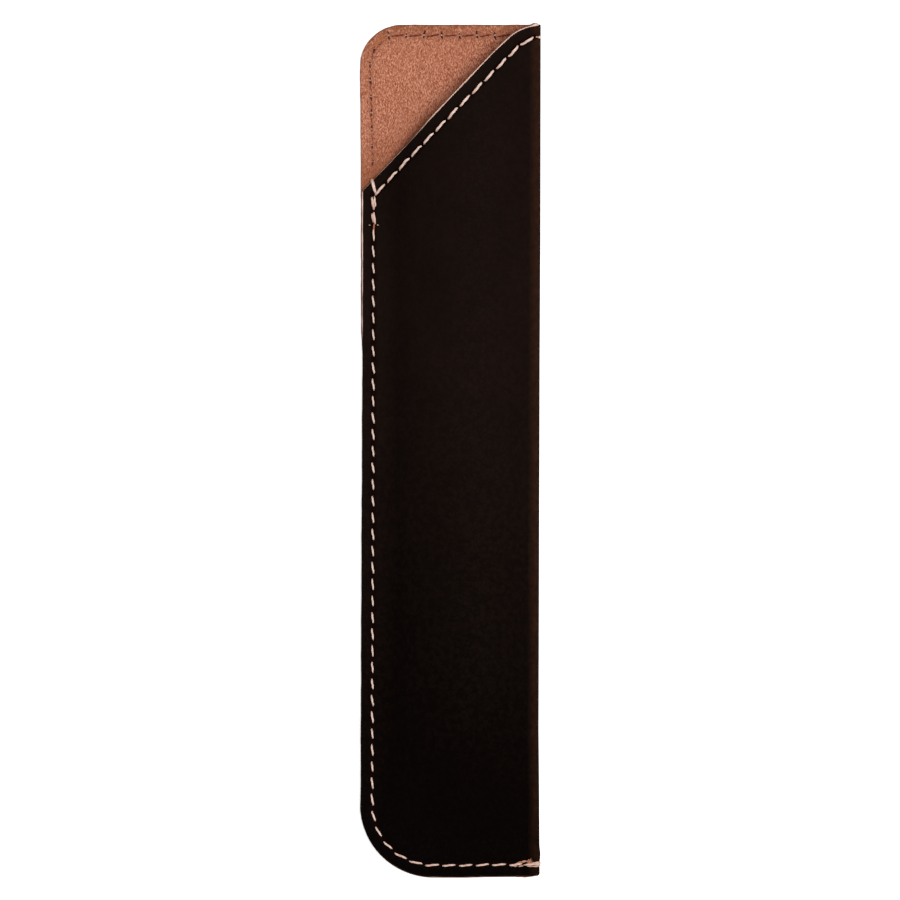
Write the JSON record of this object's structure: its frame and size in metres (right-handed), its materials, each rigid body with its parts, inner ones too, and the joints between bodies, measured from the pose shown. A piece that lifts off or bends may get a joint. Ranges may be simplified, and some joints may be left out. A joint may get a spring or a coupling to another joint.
{
  "type": "pen sleeve",
  "caption": "Slim folded leatherette sleeve for one pen, sewn along one side and the bottom, with a slanted mouth and a suede-lined tab above it.",
  "frame": {"origin": "under the middle of the sleeve, on its back face, which lies on the table", "axes": "+Y along the sleeve towards its open mouth and tab, +X towards the folded edge, +Z out of the front panel"},
  "size_m": [0.0346, 0.165, 0.0114],
  "materials": {
    "leatherette": "dark brown-black fine-grained leatherette, satin",
    "base_cloth": "pale pink-beige knit base cloth, matte",
    "suede": "tan brushed suede, matte",
    "pale_thread": "pale peach twisted sewing thread",
    "rust_thread": "dark rust twisted sewing thread"
  },
  "bodies": {
    "root": {"outer_cover": "leatherette", "base_cloth": "base_cloth", "suede_lining": "suede", "mouth_hem_needle_thread": "pale_thread", "mouth_hem_bobbin_thread": "rust_thread", "side_seam_needle_thread": "pale_thread", "side_seam_bobbin_thread": "rust_thread", "mouth_backtack": "pale_thread", "fold_backtack": "pale_thread"}
  },
  "joints": []
}
